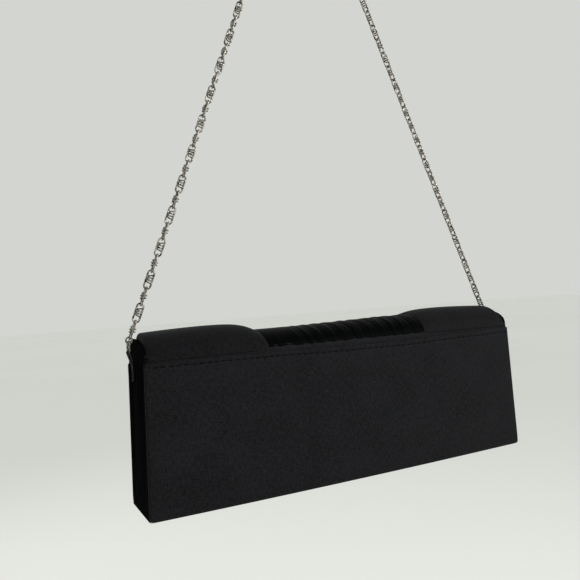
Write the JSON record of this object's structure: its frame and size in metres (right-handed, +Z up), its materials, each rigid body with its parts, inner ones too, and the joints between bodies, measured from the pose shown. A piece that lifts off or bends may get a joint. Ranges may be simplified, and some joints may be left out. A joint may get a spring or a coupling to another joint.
{
  "type": "evening bag",
  "caption": "Slim satin evening bag: stiffened box with a padded, ruched dome flap on a magnetic snap, hung from a metal link chain strap.",
  "frame": {"origin": "middle of the bag base, on the plane that it rests on", "axes": "+X along the bag to its right end as seen from the front, +Y to the back, +Z up to the top of the strap; the front and the flap face -Y"},
  "size_m": [0.2586, 0.0489, 0.3991],
  "materials": {
    "cover_satin": "matt black duchess satin with a fine weave",
    "ruched_satin": "glossy black satin gathered in close pleats",
    "lining_satin": "thin black acetate lining",
    "ribbon": "black grosgrain ribbon",
    "wadding": "white polyester wadding",
    "stiffening_board": "grey bonded board",
    "strap_metal": "antiqued silver-tone plating, bright on the high points",
    "snap_metal": "nickel plating",
    "magnet": "dark ferrite"
  },
  "bodies": {
    "strap_upper": {"left_chain_upper": "strap_metal", "right_chain_upper": "strap_metal", "top_link": "strap_metal"},
    "strap_lower": {"left_ring": "strap_metal", "right_ring": "strap_metal", "left_chain_lower": "strap_metal", "right_chain_lower": "strap_metal"},
    "bag": {"back_panel": "cover_satin", "front_panel": "cover_satin", "base_panel": "cover_satin", "left_gusset": "cover_satin", "right_gusset": "cover_satin", "back_board": "stiffening_board", "front_board": "stiffening_board", "base_board": "stiffening_board", "back_lining": "lining_satin", "front_lining": "lining_satin", "base_lining": "lining_satin", "left_gusset_lining": "lining_satin", "right_gusset_lining": "lining_satin", "slip_pocket": "lining_satin", "left_strap_tab": "ribbon", "right_strap_tab": "ribbon", "snap_socket": "snap_metal", "snap_magnet": "magnet", "socket_washer": "snap_metal"},
    "flap": {"flap_lining": "lining_satin", "flap_board": "stiffening_board", "ruched_band": "ruched_satin", "left_wing_cover": "cover_satin", "right_wing_cover": "cover_satin", "left_wing_padding": "wadding", "right_wing_padding": "wadding", "snap_stud": "snap_metal", "stud_washer": "snap_metal"}
  },
  "joints": [
    {"name": "strap_fold", "type": "hinge", "parent": "strap_upper", "child": "strap_lower", "pos_m": [0, -0.0035, 0.2454], "axis": [1, 0, 0], "range_deg": [-40, 40]},
    {"name": "bag_swing", "type": "hinge", "parent": "strap_lower", "child": "bag", "pos_m": [0, -0.0035, 0.089], "axis": [1, 0, 0], "range_deg": [-40, 35]},
    {"name": "flap_hinge", "type": "hinge", "parent": "bag", "child": "flap", "pos_m": [0, 0.0207, 0.081], "axis": [-1, 0, 0], "range_deg": [0, 165]}
  ]
}
